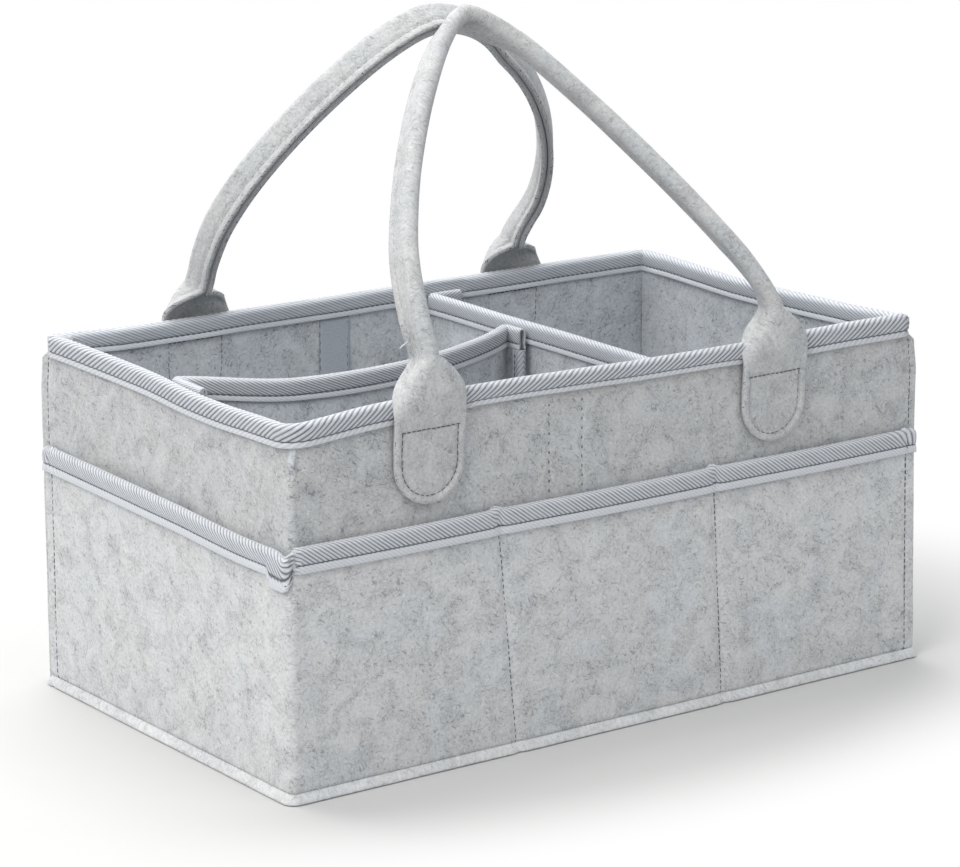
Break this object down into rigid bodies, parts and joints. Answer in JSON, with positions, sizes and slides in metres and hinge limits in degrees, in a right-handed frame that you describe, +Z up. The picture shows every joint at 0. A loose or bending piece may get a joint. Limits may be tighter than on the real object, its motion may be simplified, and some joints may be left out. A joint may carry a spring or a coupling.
{
  "type": "felt diaper caddy",
  "caption": "Open felt box with flat outside pockets, a lift-out divider insert and twin folded-felt handles, for carrying and sorting nursery supplies.",
  "frame": {"origin": "centre of the underside, on the surface that the caddy stands on", "axes": "+X along the length to the right as seen from the front, +Y from the front to the back, +Z up"},
  "size_m": [0.3808, 0.2228, 0.3431],
  "materials": {
    "wall_felt": "light grey heather felt, matt and slightly fuzzy",
    "handle_felt": "light grey heather felt, matt and slightly fuzzy",
    "twill_tape": "blue grey twill tape with diagonal ribs",
    "hook_and_loop": "grey hook and loop tape"
  },
  "bodies": {
    "shell": {"base_panel": "wall_felt", "front_left_wall": "wall_felt", "back_right_wall": "wall_felt", "front_left_pocket_band": "wall_felt", "back_right_pocket_band": "wall_felt", "rim_binding": "twill_tape", "front_left_pocket_binding": "twill_tape", "back_right_pocket_binding": "twill_tape", "front_loop_strip": "hook_and_loop", "back_loop_strip": "hook_and_loop", "front_handle_left_tab": "handle_felt", "front_handle_right_tab": "handle_felt", "back_handle_left_tab": "handle_felt", "back_handle_right_tab": "handle_felt"},
    "front_handle": {"front_handle": "handle_felt"},
    "back_handle": {"back_handle": "handle_felt"},
    "cross_divider": {"cross_divider_panel": "wall_felt", "cross_divider_binding": "twill_tape", "cross_divider_front_hook": "hook_and_loop", "cross_divider_back_hook": "hook_and_loop"},
    "long_divider": {"long_divider_panel": "wall_felt", "long_divider_binding": "twill_tape", "long_divider_left_edge_tape": "twill_tape", "long_divider_right_edge_tape": "twill_tape", "long_divider_left_hook": "hook_and_loop", "long_divider_right_hook": "hook_and_loop"}
  },
  "joints": [
    {"name": "front_handle_swing", "type": "hinge", "parent": "shell", "child": "front_handle", "pos_m": [-0.0074, -0.1111, 0.1655], "axis": [1, 0, 0], "range_deg": [0, 160]},
    {"name": "back_handle_swing", "type": "hinge", "parent": "shell", "child": "back_handle", "pos_m": [-0.0023, 0.1111, 0.1655], "axis": [-1, 0, 0], "range_deg": [0, 160]},
    {"name": "cross_divider_lift", "type": "slide", "parent": "shell", "child": "cross_divider", "axis": [0, 0, 1], "range_m": [0, 0.085]},
    {"name": "long_divider_lift", "type": "slide", "parent": "shell", "child": "long_divider", "axis": [0, 0, 1], "range_m": [0, 0.1]}
  ]
}
